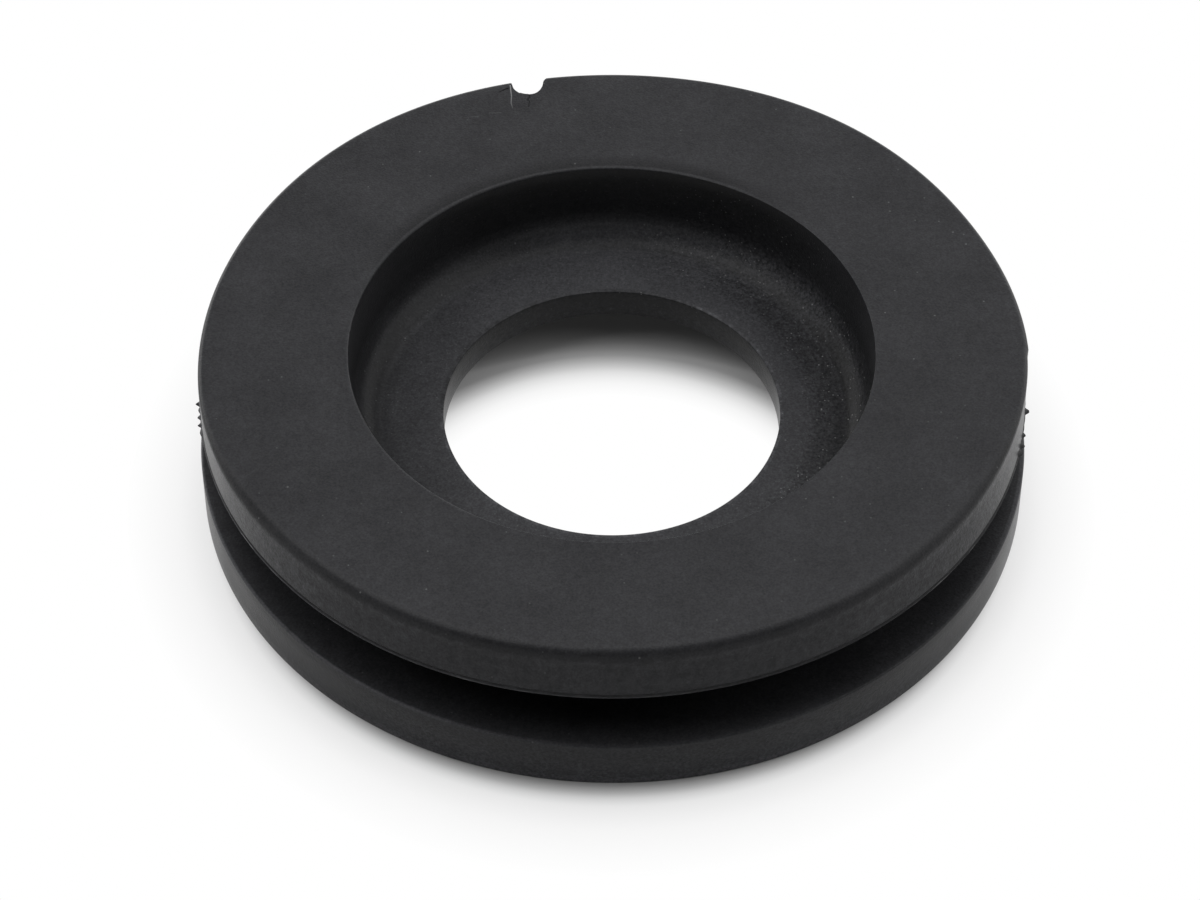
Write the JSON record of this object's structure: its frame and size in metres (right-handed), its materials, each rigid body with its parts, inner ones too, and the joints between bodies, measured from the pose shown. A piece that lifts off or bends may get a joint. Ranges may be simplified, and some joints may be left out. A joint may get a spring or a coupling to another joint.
{
  "type": "rubber grommet",
  "caption": "Moulded rubber grommet: a round ring with a panel groove round its edge, a recess in each face and a cable bore through a thin web.",
  "frame": {"origin": "centre of the bottom face, on the ring's axis", "axes": "+Z along the ring's axis, from the foot flange up to the top flange; the torn chip is on the +Y side"},
  "size_m": [0.0305, 0.0304, 0.0062],
  "materials": {
    "rubber": "matte black moulded rubber with fine grain, dust specks and a torn chip"
  },
  "bodies": {
    "root": {"grommet": "rubber"}
  },
  "joints": []
}
